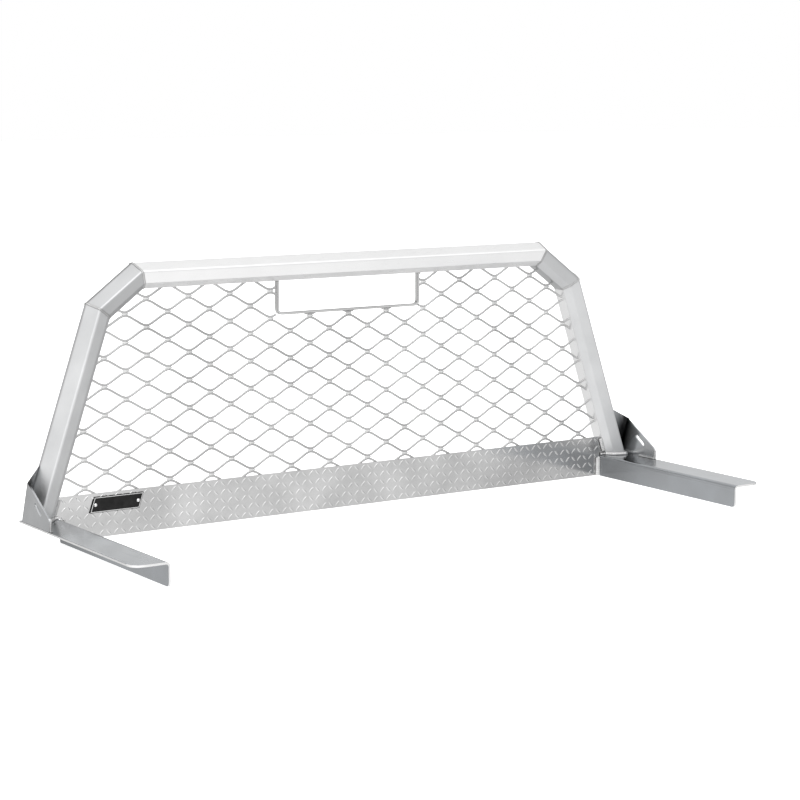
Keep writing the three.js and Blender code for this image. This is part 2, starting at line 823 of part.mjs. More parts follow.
placePair("rail_angle", railAngle(), "sheet");
placePair("gusset_bracket", gusset(), "sheet");
placePair("gusset_toe_weld", gussetToeWeld(), "weld");
placePair("foot_weld", footWeld(), "weld");

place("name_badge", nameBadge(), "badge");
place("badge_rivet_outer", badgeRivet(rivetPlaces[0]), "rivet");
place("badge_rivet_inner", badgeRivet(rivetPlaces[1]), "rivet");

export default rack;
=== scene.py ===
# Headache rack: the finished look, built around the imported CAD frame.
#
# Metres, in the frame of the CAD model: X across the truck, -Y to the tailgate, +Y to the cab, +Z up.

import math

import bmesh
import bpy
import numpy as np
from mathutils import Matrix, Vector


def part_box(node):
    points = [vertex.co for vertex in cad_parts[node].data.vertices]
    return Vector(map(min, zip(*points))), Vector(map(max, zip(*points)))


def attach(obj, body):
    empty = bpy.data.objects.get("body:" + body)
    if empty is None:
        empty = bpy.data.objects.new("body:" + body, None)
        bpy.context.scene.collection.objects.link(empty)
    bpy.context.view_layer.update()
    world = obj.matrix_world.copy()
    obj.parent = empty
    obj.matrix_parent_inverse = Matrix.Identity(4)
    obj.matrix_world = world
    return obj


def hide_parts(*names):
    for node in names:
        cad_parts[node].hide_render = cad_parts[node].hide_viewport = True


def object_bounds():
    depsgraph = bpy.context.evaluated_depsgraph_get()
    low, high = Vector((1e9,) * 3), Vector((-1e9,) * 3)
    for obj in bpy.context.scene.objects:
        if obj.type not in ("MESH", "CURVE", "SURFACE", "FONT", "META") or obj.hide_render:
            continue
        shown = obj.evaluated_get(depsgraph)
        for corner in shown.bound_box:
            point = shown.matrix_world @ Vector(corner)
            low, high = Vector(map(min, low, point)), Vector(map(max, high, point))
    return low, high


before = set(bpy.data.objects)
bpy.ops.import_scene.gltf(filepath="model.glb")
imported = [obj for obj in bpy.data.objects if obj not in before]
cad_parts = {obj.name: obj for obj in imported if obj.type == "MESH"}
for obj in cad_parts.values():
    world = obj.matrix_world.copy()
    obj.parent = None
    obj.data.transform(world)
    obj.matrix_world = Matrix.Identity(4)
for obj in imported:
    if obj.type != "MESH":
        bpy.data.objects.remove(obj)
cad_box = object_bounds()

MM = 0.001

# ---------------------------------------------------------------- sizes that the frame gives

rail_low, rail_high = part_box("top_rail")
screen_low, screen_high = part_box("screen_panel")
plate_low, plate_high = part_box("kick_plate")
window_low, window_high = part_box("window_frame")
gusset_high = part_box("right_gusset_bracket")[1]
arm_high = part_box("right_rail_angle")[1]
badge_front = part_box("name_badge")[0].y

# The frame and its sheets.
LEG_FLAT_FRONT = rail_high.y - 40 * MM  # a leg's flat inner side lies wholly behind this
ARM_SHEET = 5 * MM
PLATE_SHEET = 3 * MM
GUSSET_SHEET = 4.5 * MM
GUSSET_HEIGHT = 95 * MM  # above the arm

# How wide the bevels on cut edges are.
TUBE_EDGE = 0.5 * MM
WINDOW_EDGE = 1.3 * MM
ARM_EDGE = 0.9 * MM
GUSSET_EDGE = 0.7 * MM
BADGE_EDGE = 0.25 * MM
RIVET_EDGE = 0.15 * MM

# In degrees.
SHARP_ANGLE = 38  # an edge that turns by more is a cut edge
STRAND_SHARP_ANGLE = 50
TREAD_SHARP_ANGLE = 40
FLAT_ANGLE = 0.5  # faces that turn by less are one flat face
MERGE_DISTANCE = 0.02 * MM
NEAR = 0.05 * MM  # faces this close to a plane are taken to lie on it

# The expanded metal, from bond to bond.
DIAMOND_WIDE = 111.1 * MM
ROW_STEP = 33.22 * MM
FIRST_ROW_Z = 118.5 * MM
SCREEN_MIDDLE_Y = (screen_low.y + screen_high.y) / 2
SCREEN_HALF_DEPTH = (screen_high.y - screen_low.y) / 2 * 0.9
ROWS = range(-2, 15)  # the strands; the bonds have one row more

STRAND_HEIGHT = 6.0 * MM
STRAND_ROOT = 2.5 * MM  # how far a strand's end runs into what it is welded to
STRAND_BEND = 9 * MM  # how far to either side its turns are eased over
STRAND_STEP = 3.0 * MM
STRAND_SIDES = 10
STRAND_SQUARENESS = 0.7  # 1 gives an oval section, 0 a square one
STRAND_TWIST = 0.3
SHORTEST_RUN = 4  # points; shorter scraps of strand are left out
WAVE_SAMPLES = 9
PAIR_SPACING = 8.2 * MM  # between the two strands that meet at a bond

BOND_LEVEL = 13 * MM  # how much of a strand lies level at a bond
BOND_HALF_LENGTH = 11 * MM
BOND_HALF_HEIGHT = 2.6 * MM
BOND_HALF_DEPTH = SCREEN_HALF_DEPTH * 0.85
BOND_STEPS = 10
BOND_TIP = 0.98  # where the lens is cut off, as a share of its half length
BOND_PARITY = 1  # bonds lie where column plus row is odd

# The tread pattern.
TREAD_STEP = 19 * MM
TREAD_ROWS = 5
TREAD_HALF_LENGTH = 9.5 * MM
TREAD_HALF_WIDTH = 2.7 * MM
TREAD_HEIGHT = 1.2 * MM
TREAD_MARGIN = TREAD_HALF_LENGTH * 0.75  # from a lozenge's middle to the plate's edge, at least
TREAD_TIP_HALF_WIDTH = 0.05 * MM
TREAD_SINK = 0.15 * MM  # how deep a lozenge's rim lies in the sheet
TREAD_CROWN = 0.6  # below 1, so that a lozenge keeps its height towards its tips
TREAD_STEPS_ALONG = 10
TREAD_STEPS_ACROSS = 6


# ---------------------------------------------------------------- small tools


def new_piece(name, geometry, material):
    """Makes a bmesh into a finished object that rides on the rack."""
    mesh = bpy.data.meshes.new(name)
    geometry.to_mesh(mesh)
    geometry.free()
    piece = bpy.data.objects.new(name, mesh)
    bpy.context.scene.collection.objects.link(piece)
    mesh.materials.append(material)
    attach(piece, "root")
    return piece


def smooth_up_to(geometry, degrees):
    """Shades smooth across every edge that turns by less than this."""
    for face in geometry.faces:
        face.smooth = True
    limit = math.radians(degrees)
    for edge in geometry.edges:
        edge.smooth = len(edge.link_faces) == 2 and edge.calc_face_angle(0) < limit


def node_points(node):
    return [vertex.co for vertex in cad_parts[node].data.vertices]


def node_geometry(node):
    """A CAD node's shape as a clean bmesh with its flat faces whole."""
    geometry = bmesh.new()
    geometry.from_mesh(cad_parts[node].data)
    bmesh.ops.remove_doubles(geometry, verts=geometry.verts, dist=MERGE_DISTANCE)
    bmesh.ops.dissolve_limit(
        geometry,
        angle_limit=math.radians(FLAT_ANGLE),
        verts=geometry.verts,
        edges=geometry.edges,
    )
    return geometry


def soften(piece, width, segments=3):
    """Rounds the cut edges and keeps the flat faces flat."""
    bevel = piece.modifiers.new("edges", "BEVEL")
    bevel.width = width
    bevel.segments = segments
    bevel.limit_method = "ANGLE"
    bevel.angle_limit = math.radians(SHARP_ANGLE)
    bevel.harden_normals = True
    normals = piece.modifiers.new("normals", "WEIGHTED_NORMAL")
    normals.keep_sharp = True


def finished_node(node, material, edge_width):
    """A metal piece with the CAD node's own shape and softened edges."""
    geometry = node_geometry(node)
    smooth_up_to(geometry, SHARP_ANGLE)
    piece = new_piece(node + "_metal", geometry, material)
    soften(piece, edge_width)
    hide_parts(node)
    return piece


# ---------------------------------------------------------------- materials


class Nodes:
    """A short way to build a node tree."""

    def __init__(self, name):
        self.material = bpy.data.materials.new(name)
        self.material.use_nodes = True
        self.tree = self.material.node_tree
        self.shader = self.tree.nodes["Principled BSDF"]
        self.place = self.tree.nodes.new("ShaderNodeTexCoord").outputs["Object"]

    def link(self, output, target):
        self.tree.links.new(output, target)

    def stretched(self, scale):
        mapping = self.tree.nodes.new("ShaderNodeMapping")
        mapping.inputs["Scale"].default_value = scale
        self.link(self.place, mapping.inputs["Vector"])
        return mapping.outputs["Vector"]

    def noise(self, scale, detail=4, stretch=(1, 1, 1)):
        texture = self.tree.nodes.new("ShaderNodeTexNoise")
        texture.inputs["Scale"].default_value = scale
        texture.inputs["Detail"].default_value = detail
        self.link(self.stretched(stretch), texture.inputs["Vector"])
        return texture.outputs["Fac"]

    def ramp(self, factor, low, high, start=0.3, end=0.7):
        ramp = self.tree.nodes.new("ShaderNodeValToRGB")
        ramp.color_ramp.elements[0].position = start
        ramp.color_ramp.elements[0].color = (*low, 1)
        ramp.color_ramp.elements[1].position = end
        ramp.color_ramp.elements[1].color = (*high, 1)
        self.link(factor, ramp.inputs["Fac"])
        return ramp.outputs["Color"]

    def spread(self, factor, low, high, start=0.0, end=1.0):
        """Eases from low to high as the factor goes from start to end."""
        spread = self.tree.nodes.new("ShaderNodeMapRange")
        spread.interpolation_type = "SMOOTHSTEP"
        spread.inputs["From Min"].default_value = start
        spread.inputs["From Max"].default_value = end
        spread.inputs["To Min"].default_value = low
        spread.inputs["To Max"].default_value = high
        self.link(factor, spread.inputs["Value"])
        return spread.outputs["Result"]

    def vector(self, operation, *operands, result="Vector"):
        """A vector operation on sockets or plain values."""
        node = self.tree.nodes.new("ShaderNodeVectorMath")
        node.operation = operation
        for socket, operand in zip(node.inputs, operands):
            if isinstance(operand, bpy.types.NodeSocket):
                self.link(operand, socket)
            else:
                socket.default_value = operand
        return node.outputs[result]

    def along(self, axis):
        """How far a point lies along an axis of the frame."""
        return self.vector("DOT_PRODUCT", self.place, axis, result="Value")

    def scaled(self, colour, factor):
        scale = self.tree.nodes.new("ShaderNodeVectorMath")
        scale.operation = "SCALE"
        self.link(colour, scale.inputs[0])
        self.link(factor, scale.inputs["Scale"])
        return scale.outputs["Vector"]

    def bump(self, height, strength, distance):
        bump = self.tree.nodes.new("ShaderNodeBump")
        bump.inputs["Strength"].default_value = strength
        bump.inputs["Distance"].default_value = distance
        self.link(height, bump.inputs["Height"])
        self.link(bump.outputs["Normal"], self.shader.inputs["Normal"])


def aluminium(name, dull, bright, roughness, grain, grain_scale, grain_depth, bite=0.25, shade=None):
    """Bare aluminium: cloudy colour, streaked gloss and a fine rolled or drawn grain.

    shade is a function that makes a factor from the nodes, by which the colour is darkened as painted
    shade.
    """
    nodes = Nodes(name)
    nodes.shader.inputs["Metallic"].default_value = 1.0
    colour = nodes.ramp(nodes.noise(9), dull, bright)
    if shade:
        colour = nodes.scaled(colour, shade(nodes))
    nodes.link(colour, nodes.shader.inputs["Base Color"])
    streaks = nodes.noise(grain_scale, 6, grain)
    nodes.link(nodes.spread(streaks, *roughness), nodes.shader.inputs["Roughness"])
    nodes.bump(streaks, bite, grain_depth)
    return nodes.material


def grey(value, blue=0.0):
    """A grey, with its blue raised by so much."""
    return (value, value + blue / 2, value + blue)


# The right gusset's fold runs up the inside of its cheek, from the arm to the cheek's top, and leans
# away from the cab. Both of its ends are measured from the arm's cab end.
FOLD_FOOT_INSET = 17 * MM
FOLD_TOP_INSET = 52 * MM
FOLD_X = gusset_high.x - GUSSET_SHEET
FOLD_FOOT = Vector((FOLD_X, arm_high.y - FOLD_FOOT_INSET, arm_high.z))
FOLD_TOP = Vector((FOLD_X, arm_high.y - FOLD_TOP_INSET, arm_high.z + GUSSET_HEIGHT))
# Painted shade along the fold: how dark it is at the fold, and the distances over which it clears.
FOLD_PAINTED_SHADE_DARKEST = 0.03
FOLD_PAINTED_SHADE_WITHIN = 6 * MM
FOLD_PAINTED_SHADE_CLEARS = 36 * MM

# Painted shade along the arms: how dark it is at the cab end, and where it starts and ends.
ARM_PAINTED_SHADE_DEEPEST = 0.62
ARM_PAINTED_SHADE_FROM = -50 * MM
ARM_PAINTED_SHADE_TO = 240 * MM

# Painted shade along the tread plate: how dark it is at the right end, and where it starts and ends.
TREAD_PAINTED_SHADE_DEEPEST = 0.76
TREAD_PAINTED_SHADE_FROM = 200 * MM
TREAD_PAINTED_SHADE_TO = 750 * MM


def fold_painted_shade(nodes):
    """Painted shade in the fold of either gusset: the colour is near black at the fold and clears over a
    few centimetres.
    """
    either_side = nodes.vector("ABSOLUTE", nodes.place)
    from_foot = nodes.vector("SUBTRACT", either_side, FOLD_FOOT)
    reach = nodes.vector("CROSS_PRODUCT", from_foot, (FOLD_TOP - FOLD_FOOT).normalized())
    distance = nodes.vector("LENGTH", reach, result="Value")
    return nodes.spread(distance, FOLD_PAINTED_SHADE_DARKEST, 1.0, FOLD_PAINTED_SHADE_WITHIN, FOLD_PAINTED_SHADE_CLEARS)


def arm_painted_shade(nodes):
    """Painted shade: the arms' colour is darker at the cab end than at the tailgate end."""
    return nodes.spread(nodes.along((0, 1, 0)), 1.0, ARM_PAINTED_SHADE_DEEPEST, ARM_PAINTED_SHADE_FROM, ARM_PAINTED_SHADE_TO)


def tread_painted_shade(nodes):
    """Painted shade: the tread plate's colour is darker towards its right end."""
    return nodes.spread(nodes.along((1, 0, 0)), 1.0, TREAD_PAINTED_SHADE_DEEPEST, TREAD_PAINTED_SHADE_FROM, TREAD_PAINTED_SHADE_TO)


# Stretches of the grain: drawn along an axis, or the same every way.
ALONG_X = (0.06, 1, 1)
ALONG_Y = (1, 0.06, 1)
ALONG_Z = (1, 1, 0.06)
EVEN = (1, 1, 1)

# The rail, corners and legs are one metal. Their base tones are lit and shaded copies, painted light and
# shade: the rail lightest, the corners darkest.
rail_metal = aluminium(
    "rail_aluminium", grey(0.94), grey(0.99), (0.24, 0.36), ALONG_X, 420, 0.03 * MM, bite=0.1
)
corner_metal = aluminium(
    "corner_aluminium", grey(0.53, 0.01), grey(0.60, 0.01), (0.30, 0.40), EVEN, 420, 0.03 * MM, bite=0.1
)
leg_metal = aluminium(
    "leg_aluminium", grey(0.64, 0.01), grey(0.74, 0.01), (0.50, 0.60), ALONG_Z, 420, 0.03 * MM, bite=0.12
)
arm_metal = aluminium(
    "arm_aluminium", grey(0.47, 0.03), grey(0.54, 0.05), (0.10, 0.22), ALONG_Y, 300, 0.02 * MM,
    shade=arm_painted_shade,
)
# Painted highlight: a lighter copy of the metal for the arms' edges and front ends.
edge_highlight_metal = aluminium(
    "edge_painted_highlight_aluminium", grey(0.90), grey(0.98), (0.42, 0.55), EVEN, 300, 0.05 * MM
)
gusset_metal = aluminium(
    "gusset_aluminium", grey(0.56, 0.02), grey(0.70, 0.02), (0.10, 0.22), ALONG_Z, 260, 0.02 * MM
)
# The fold side of a gusset: a darker copy of the gusset metal, with painted shade towards the fold.
fold_painted_shade_metal = aluminium(
    "gusset_fold_painted_shade_aluminium", grey(0.50, 0.02), grey(0.62, 0.02), (0.14, 0.24), ALONG_Z, 260, 0.02 * MM,
    shade=fold_painted_shade,
)
screen_metal = aluminium(
    "screen_aluminium", grey(0.44), grey(0.62), (0.20, 0.36), EVEN, 300, 0.05 * MM
)
# Painted highlight: the bonds are the same metal as the strands, in a lighter copy.
bond_highlight_metal = aluminium(
    "bond_painted_highlight_aluminium", grey(0.80), grey(0.92), (0.20, 0.32), EVEN, 300, 0.05 * MM
)
window_metal = aluminium(
    "window_aluminium", grey(0.68), grey(0.82), (0.14, 0.26), ALONG_X, 300, 0.03 * MM
)
# Painted shade: a dark copy of the window metal for the bar's bevelled edges.
window_edge_shade_metal = aluminium(
    "window_edge_painted_shade_aluminium", grey(0.30), grey(0.42), (0.20, 0.32), EVEN, 300, 0.03 * MM
)
tread_metal = aluminium(
    "tread_aluminium", grey(0.60), grey(0.78), (0.08, 0.22), EVEN, 160, 0.05 * MM,
    shade=tread_painted_shade,
)
weld_metal = aluminium(
    "weld_aluminium", grey(0.40), grey(0.72), (0.28, 0.50), EVEN, 600, 0.12 * MM, bite=0.5
)
rivet_metal = aluminium(
    "rivet_aluminium", grey(0.88), grey(0.96), (0.16, 0.26), EVEN, 400, 0.02 * MM
)


def badge_paint():
    """Satin black paint with a faint orange-peel surface."""
    nodes = Nodes("badge_black")
    colour = nodes.ramp(nodes.noise(60), grey(0.008), grey(0.016))
    nodes.link(colour, nodes.shader.inputs["Base Color"])
    peel = nodes.noise(900, 3)
    nodes.link(nodes.spread(peel, 0.34, 0.46), nodes.shader.inputs["Roughness"])
    nodes.bump(peel, 0.15, 0.03 * MM)
    nodes.shader.inputs["Specular IOR Level"].default_value = 0.15
    return nodes.material


badge_black = badge_paint()


# ---------------------------------------------------------------- frame, arms, gussets


def finish_faces(piece, material, chosen):
    """Gives the faces that a test chooses a second finish."""
    piece.data.materials.append(material)
    second = len(piece.data.materials) - 1
    for face in piece.data.polygons:
        if chosen(face):
            face.material_index = second


def window_bar():
    bar = finished_node("window_frame", window_metal, WINDOW_EDGE)
    # The bevels take the dark copy: painted shade along the bar's edges.
    bar.data.materials.append(window_edge_shade_metal)
    bar.modifiers["edges"].material = 1


def leg(side):
    """A leg, with painted light on the flat side that faces the screen: those faces take the lighter
    rail metal.
    """
    tube = finished_node(side + "_leg_tube", leg_metal, TUBE_EDGE)

    def on_painted_light_side(face):
        faces_screen = face.normal.x * face.center.x < 0
        return faces_screen and abs(face.normal.x) > 0.9 and face.center.y > LEG_FLAT_FRONT

    # Painted light: the inner flat faces get the lighter rail metal.
    finish_faces(tube, rail_metal, on_painted_light_side)


def arm(side):
    """An arm, with painted highlight on the cut edges of its sheet and on its front end."""
    angle = finished_node(side + "_rail_angle", arm_metal, ARM_EDGE)
    above_hanging_flange = arm_high.z - ARM_SHEET - 0.5 * MM

    def on_highlighted_edge(face):
        lowest = min(angle.data.vertices[index].co.z for index in face.vertices)
        outer_edge = abs(face.normal.z) < 0.2 and lowest > above_hanging_flange
        return outer_edge or face.normal.y < -0.6

    # Painted highlight on the edges, the front end and the bevels.
    finish_faces(angle, edge_highlight_metal, on_highlighted_edge)
    angle.modifiers["edges"].material = 1


def gusset(side):
    """A gusset with painted shade inside its fold: the cheek's outer face and the web's back are plain.
    """
    bracket = finished_node(side + "_gusset_bracket", fold_painted_shade_metal, GUSSET_EDGE)

    def on_outside(face):
        on_cheek = abs(face.center.x) > gusset_high.x - NEAR
        return on_cheek or face.normal.y > 0.3

    finish_faces(bracket, gusset_metal, on_outside)


def frame_and_arms():
    finished_node("top_rail", rail_metal, TUBE_EDGE)
    window_bar()
    for side in ("right", "left"):
        finished_node(side + "_corner_tube", corner_metal, TUBE_EDGE)
        leg(side)
        arm(side)
        gusset(side)


# ---------------------------------------------------------------- welds

WELDS = (
    "top_mitre_weld",
    "knee_mitre_weld",
    "window_weld",
    "plate_to_arm_weld",
    "plate_to_leg_weld",
    "gusset_toe_weld",
    "foot_weld",
)
WELD_VOXEL = 0.7 * MM
RIPPLE_PITCH = 4.2 * MM
RIPPLE_DEPTH = 0.5 * MM
RIPPLE_MEAN = 0.6  # about the mean height of a crescent, so that the bead keeps its size
RELAX_FACTOR = 0.5
RELAX_PASSES = 4


def melted(piece):
    """Replaces a piece's mesh with one soft closed skin over it."""
    remesh = piece.modifiers.new("melt", "REMESH")
    remesh.mode = "VOXEL"
    remesh.voxel_size = WELD_VOXEL
    relax = piece.modifiers.new("relax", "SMOOTH")
    relax.factor = RELAX_FACTOR
    relax.iterations = RELAX_PASSES
    bpy.context.view_layer.update()
    evaluated = piece.evaluated_get(bpy.context.evaluated_depsgraph_get())
    skin = bpy.data.meshes.new_from_object(evaluated)
    piece.modifiers.clear()
    piece.data = skin


def ripple(mesh, goes_round):
    """Raises the overlapping crescents that a welder's dabs leave along a bead."""
    points = np.array([vertex.co for vertex in mesh.vertices])
    normals = np.array([vertex.normal for vertex in mesh.vertices])
    centred = points - points.mean(axis=0)
    axes = np.linalg.svd(centred, full_matrices=False)[2]
    along, across, through = (centred @ axis for axis in axes)
    if goes_round:
        radius = np.hypot(along, across)
        travel = np.arctan2(across, along) * radius.mean()
        offset = through
    else:
        travel = along
        offset = across
    crescent = offset**2 / (4 * RIPPLE_PITCH)
    height = np.abs(np.sin(np.pi * (travel + crescent) / RIPPLE_PITCH)) - RIPPLE_MEAN
    moved = points + normals * (height * RIPPLE_DEPTH)[:, None]
    mesh.vertices.foreach_set("co", moved.astype(np.float32).ravel())
    for face in mesh.polygons:
        face.use_smooth = True
    mesh.update()


def weld_bead(node):
    """The CAD bead melted into one soft run of weld with ripples along it."""
    bead = new_piece(node + "_bead", node_geometry(node), weld_metal)
    melted(bead)
    ripple(bead.data, goes_round="mitre" in node or "foot" in node)
    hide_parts(node)


# ---------------------------------------------------------------- expanded metal


def opening_corners():
    """The opening's right-hand corners (x, z): foot, knee and top, read off the CAD tubes."""
    leg_points = node_points("right_leg_tube")
    corner_points = node_points("right_corner_tube")
    leg_foot = min(point.z for point in leg_points)
    foot_points = [point for point in leg_points if point.z < leg_foot + 1 * MM]
    foot, knee, top = (
        min(points, key=lambda point: point.x) for points in (foot_points, leg_points, corner_points)
    )
    return (foot.x, foot.z), (knee.x, knee.z), (top.x, top.z)


OPENING_CORNERS = opening_corners()


def inside_half_width(z):
    """Half the width of the opening in the frame at this height."""
    foot, knee, top = OPENING_CORNERS
    if z <= knee[1]:
        share = (z - foot[1]) / (knee[1] - foot[1])
        return foot[0] + (knee[0] - foot[0]) * share
    share = (z - knee[1]) / (top[1] - knee[1])
    return knee[0] + (top[0] - knee[0]) * share


def in_opening(x, z):
    """Whether a strand runs here. Strands end inside the walls that they are welded to."""
    if not screen_low.z <= z <= rail_low.z + STRAND_ROOT:
        return False
    if abs(x) > inside_half_width(z) + STRAND_ROOT:
        return False
    return not (abs(x) < window_high.x - STRAND_ROOT and z > window_low.z + STRAND_ROOT)


def wave(x):
    """A strand's rise and fall, from -1 to 1: level at bonds, straight between, eased at the turns."""
    total = 0
    for sample in range(WAVE_SAMPLES):
        eased_x = x + STRAND_BEND * (2 * sample / (WAVE_SAMPLES - 1) - 1)
        from_bond = abs((eased_x + DIAMOND_WIDE / 2) % DIAMOND_WIDE - DIAMOND_WIDE / 2)
        fall = (from_bond - BOND_LEVEL / 2) / (DIAMOND_WIDE / 2 - BOND_LEVEL)
        total += 1 - 2 * min(max(fall, 0), 1)
    return total / WAVE_SAMPLES


def squared(value):
    """Swells a sine or cosine, so that an oval section grows corners."""
    return math.copysign(abs(value) ** STRAND_SQUARENESS, value)


def skin_rings(geometry, rings):
    """Closes a row of rings into one solid and returns its faces."""
    faces = []
    for first, second in zip(rings, rings[1:]):
        for side in range(STRAND_SIDES):
            after = (side + 1) % STRAND_SIDES
            faces.append(geometry.faces.new((first[side], first[after], second[after], second[side])))
    faces.append(geometry.faces.new(list(reversed(rings[0]))))
    faces.append(geometry.faces.new(rings[-1]))
    return faces


def around():
    """The angles of a ring's points."""
    return [2 * math.pi * side / STRAND_SIDES for side in range(STRAND_SIDES)]


def add_strand(geometry, points):
    """Sweeps the strand's rounded section along its path and closes both ends."""
    rings = []
    for index, (x, z) in enumerate(points):
        before = points[max(index - 1, 0)]
        after = points[min(index + 1, len(points) - 1)]
        slope = math.atan2(after[1] - before[1], after[0] - before[0])
        normal = (-math.sin(slope), math.cos(slope))
        # The strand leans over as it climbs, as a slit and stretched sheet does.
        twist = STRAND_TWIST * math.sin(slope)
        ring = []
        for angle in around():
            across = squared(math.cos(angle)) * STRAND_HEIGHT / 2
            deep = squared(math.sin(angle)) * SCREEN_HALF_DEPTH
            turned = across * math.cos(twist) - deep * math.sin(twist)
            pushed = across * math.sin(twist) + deep * math.cos(twist)
            place = (x + normal[0] * turned, SCREEN_MIDDLE_Y + pushed, z + normal[1] * turned)
            ring.append(geometry.verts.new(place))
        rings.append(ring)
    skin_rings(geometry, rings)


def add_bond(geometry, x, z):
    """The uncut metal that joins two strands: a slim lens lying between them."""
    rings = []
    for step in range(BOND_STEPS + 1):
        along = BOND_TIP * (2 * step / BOND_STEPS - 1)
        girth = math.sqrt(1 - along * along)
        ring = []
        for angle in around():
            up = math.cos(angle) * girth * BOND_HALF_HEIGHT
            deep = math.sin(angle) * girth * BOND_HALF_DEPTH
            place = (x + along * BOND_HALF_LENGTH, SCREEN_MIDDLE_Y + deep, z + up)
            ring.append(geometry.verts.new(place))
        rings.append(ring)
    # The bond faces take the lighter copy: painted highlight.
    for face in skin_rings(geometry, rings):
        face.material_index = 1


def strand_runs(row):
    """The unbroken stretches of one strand that lie inside the frame and clear of the window."""
    middle = FIRST_ROW_Z + (row + 0.5) * ROW_STEP
    swing = (ROW_STEP - PAIR_SPACING) / 2 / wave(0)
    sign = 1 if row % 2 == 0 else -1
    steps = int((screen_high.x + STRAND_ROOT) / STRAND_STEP)
    runs = [[]]
    for step in range(-steps, steps + 1):
        x = step * STRAND_STEP
        z = middle + sign * swing * wave(x)
        if in_opening(x, z):
            runs[-1].append((x, z))
        elif runs[-1]:
            runs.append([])
    return [run for run in runs if len(run) >= SHORTEST_RUN]


def bond_places():
    """The middles (x, z) of the bonds that lie wholly inside the opening."""
    columns = int(screen_high.x / (DIAMOND_WIDE / 2))
    for column in range(-columns, columns + 1):
        for row in range(ROWS.start, ROWS.stop + 1):
            x = column * DIAMOND_WIDE / 2
            z = FIRST_ROW_Z + row * ROW_STEP
            ends = (x - BOND_HALF_LENGTH, x + BOND_HALF_LENGTH)
            if (column + row) % 2 == BOND_PARITY and all(in_opening(end, z) for end in ends):
                yield x, z


def expanded_metal():
    geometry = bmesh.new()
    for row in ROWS:
        for run in strand_runs(row):
            add_strand(geometry, run)
    for x, z in bond_places():
        add_bond(geometry, x, z)
    bmesh.ops.recalc_face_normals(geometry, faces=geometry.faces)
    smooth_up_to(geometry, STRAND_SHARP_ANGLE)
    screen = new_piece("expanded_metal", geometry, screen_metal)
    screen.data.materials.append(bond_highlight_metal)
    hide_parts("screen_panel")


# ---------------------------------------------------------------- tread plate


def add_lozenge(geometry, x, z, face_y, lean):
    """One raised lens of the tread pattern, pointed at both ends and domed."""
    cosine = math.cos(lean)
    sine = math.sin(lean)
    rows = []
    for step_along in range(TREAD_STEPS_ALONG + 1):
        along_share = 2 * step_along / TREAD_STEPS_ALONG - 1
        girth = 1 - along_share**2
        half_width = TREAD_HALF_WIDTH * girth + TREAD_TIP_HALF_WIDTH
        row = []
        for step_across in range(TREAD_STEPS_ACROSS + 1):
            across_share = 2 * step_across / TREAD_STEPS_ACROSS - 1
            height = TREAD_HEIGHT * girth**TREAD_CROWN * (1 - across_share**2)
            along = along_share * TREAD_HALF_LENGTH
            across = across_share * half_width
            place = (
                x + along * cosine - across * sine,
                face_y + TREAD_SINK - height,
                z + along * sine + across * cosine,
            )
            row.append(geometry.verts.new(place))
        rows.append(row)
    for first, second in zip(rows, rows[1:]):
        for near in range(TREAD_STEPS_ACROSS):
            far = near + 1
            geometry.faces.new((first[near], first[far], second[far], second[near]))
    # The underside closes the lens round its whole rim.
    one_side = [row[0] for row in rows]
    other_side = [row[-1] for row in reversed(rows[:-1])]
    rim = one_side + rows[-1][1:] + other_side + list(reversed(rows[0][1:-1]))
    geometry.faces.new(rim)


def plate_outline():
    """The kick plate's outline (x, z), read off the CAD plate: it widens above the arms."""
    points = node_points("kick_plate")
    top_x = max(point.x for point in points if point.z > plate_high.z - 1 * MM)
    low_x = max(point.x for point in points if point.z < arm_high.z - 5 * MM)
    half = [
        (low_x, plate_low.z),
        (low_x, arm_high.z),
        (plate_high.x, arm_high.z),
        (top_x, plate_high.z),
    ]
    return half + [(-x, z) for x, z in reversed(half)]


def add_sheet(geometry, outline, face_y):
    """A flat sheet with its front at face_y."""
    front = [geometry.verts.new((x, face_y, z)) for x, z in outline]
    back = [geometry.verts.new((x, face_y + PLATE_SHEET, z)) for x, z in outline]
    geometry.faces.new(front)
    geometry.faces.new(list(reversed(back)))
    for corner in range(len(outline)):
        after = (corner + 1) % len(outline)
        geometry.faces.new((front[after], front[corner], back[corner], back[after]))


def tread_plate():
    """The kick plate: a flat sheet, with the lozenges standing on it in a crossed pattern."""
    face_y = plate_low.y + TREAD_HEIGHT
    outline = plate_outline()
    geometry = bmesh.new()
    add_sheet(geometry, outline, face_y)
    half_width = outline[0][0]  # of the narrow part, between the hanging flanges
    columns = int(half_width / TREAD_STEP)
    row_step = plate_high.z / TREAD_ROWS
    for column in range(-columns, columns + 1):
        for row in range(TREAD_ROWS):
            z = (row + 0.5) * row_step
            x = column * TREAD_STEP
            if abs(x) + TREAD_MARGIN < half_width and TREAD_MARGIN < z < plate_high.z - TREAD_MARGIN:
                lean = math.pi / 4 if (column + row) % 2 == 0 else -math.pi / 4
                add_lozenge(geometry, x, z, face_y, lean)
    bmesh.ops.recalc_face_normals(geometry, faces=geometry.faces)
    smooth_up_to(geometry, TREAD_SHARP_ANGLE)
    plate = new_piece("tread_plate", geometry, tread_metal)
    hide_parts("kick_plate")


# ---------------------------------------------------------------- badge


def badge():
    """A plain black plate with a bare metal border line and two bright rivets. It has no lettering."""
    plate = finished_node("name_badge", badge_black, BADGE_EDGE)
    finish_faces(plate, rivet_metal, lambda face: face.center.y < badge_front + NEAR)
    for node in ("badge_rivet_outer", "badge_rivet_inner"):
        finished_node(node, rivet_metal, RIVET_EDGE)


# ---------------------------------------------------------------- stage


FLOOR_GLOW = 0.75
FLOOR_HALF_SIZE = 30
FLOOR_CLEARANCE = 0.5 * MM


